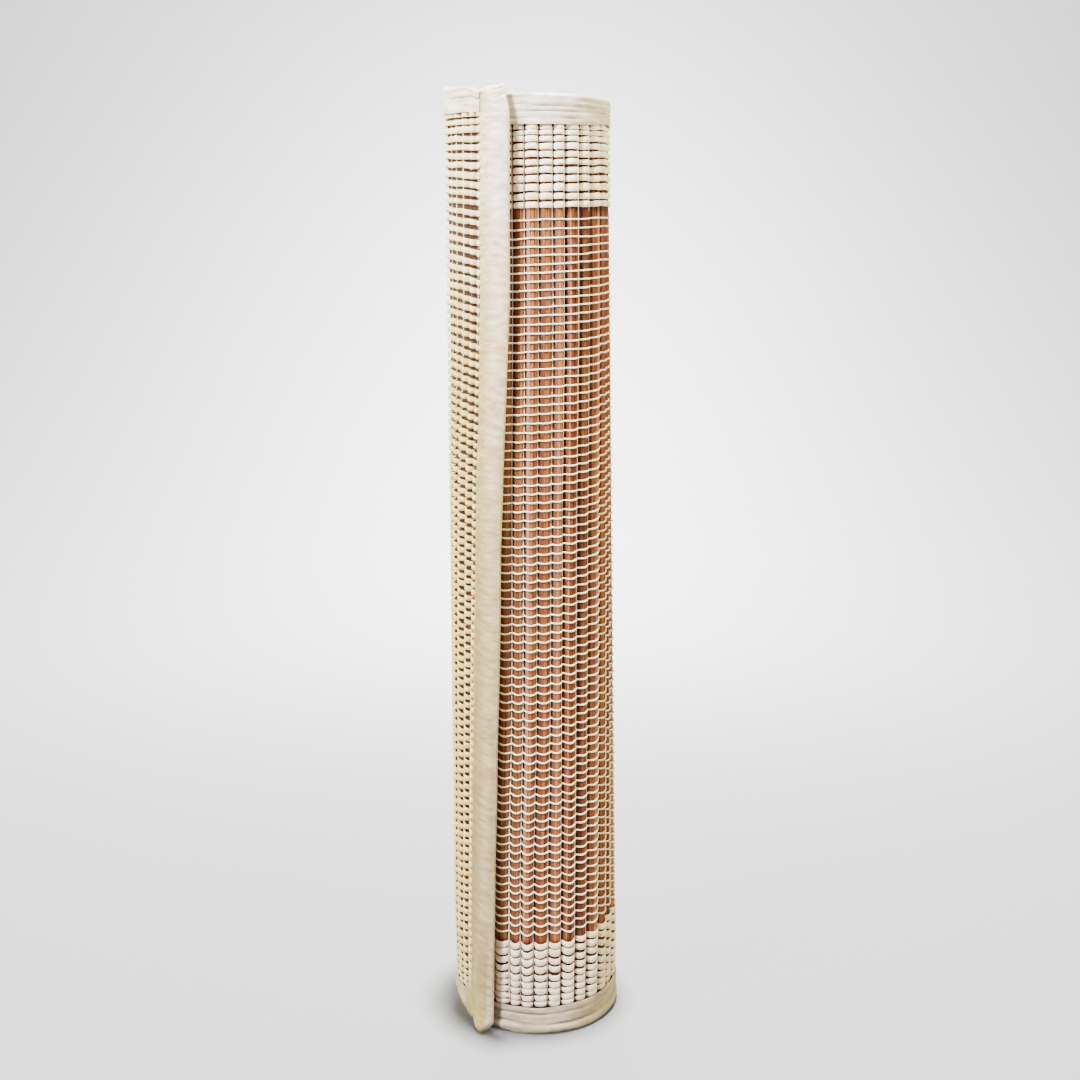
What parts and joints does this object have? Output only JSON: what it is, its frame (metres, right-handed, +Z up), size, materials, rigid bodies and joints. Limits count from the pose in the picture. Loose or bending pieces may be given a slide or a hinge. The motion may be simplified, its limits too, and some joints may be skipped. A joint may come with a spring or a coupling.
{
  "type": "rolled grass mat",
  "caption": "Grass floor mat bound in cream cotton tape on all four edges, rolled up and stood on end, its bound free end springing clear at the front.",
  "frame": {"origin": "at the foot of the roll, in the middle of its outer box", "axes": "+Z up along the roll, -Y towards the side where the bound free end lies, +X to its right"},
  "size_m": [0.1138, 0.113, 0.61],
  "materials": {
    "grass_weave": "reddish brown split stalks woven with off-white cotton",
    "cotton_tape": "cream cotton tape, matt"
  },
  "bodies": {
    "root": {"woven_mat": "grass_weave", "edge_binding_foot": "cotton_tape", "edge_binding_top": "cotton_tape", "end_binding_outer": "cotton_tape", "end_binding_inner": "cotton_tape"}
  },
  "joints": []
}
